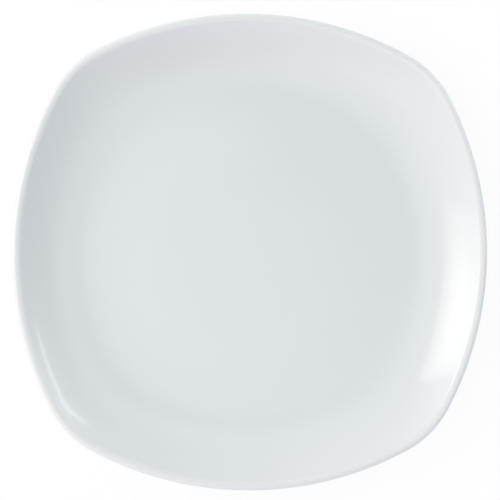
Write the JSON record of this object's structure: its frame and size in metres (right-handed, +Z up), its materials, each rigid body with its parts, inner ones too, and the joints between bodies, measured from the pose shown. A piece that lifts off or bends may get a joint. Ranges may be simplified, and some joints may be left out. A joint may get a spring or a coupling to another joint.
{
  "type": "dinner plate",
  "caption": "Rounded-square coupe plate with bowed sides, a round well, an upswept wall, a rolled rim and a low round foot.",
  "frame": {"origin": "middle of the foot's standing face, on the table", "axes": "+Z up out of the dish; +X and +Y through the middles of two neighbouring sides"},
  "size_m": [0.27, 0.27, 0.025],
  "materials": {
    "biscuit": "vitrified porcelain, bare and smooth-ground where it stands",
    "dish_glaze": "clear gloss glaze over cool white porcelain",
    "base_glaze": "clear gloss glaze over cool white porcelain, slightly thicker in the recess"
  },
  "bodies": {
    "root": {"porcelain_body": "biscuit", "dish_glaze": "dish_glaze", "base_glaze": "base_glaze"}
  },
  "joints": []
}
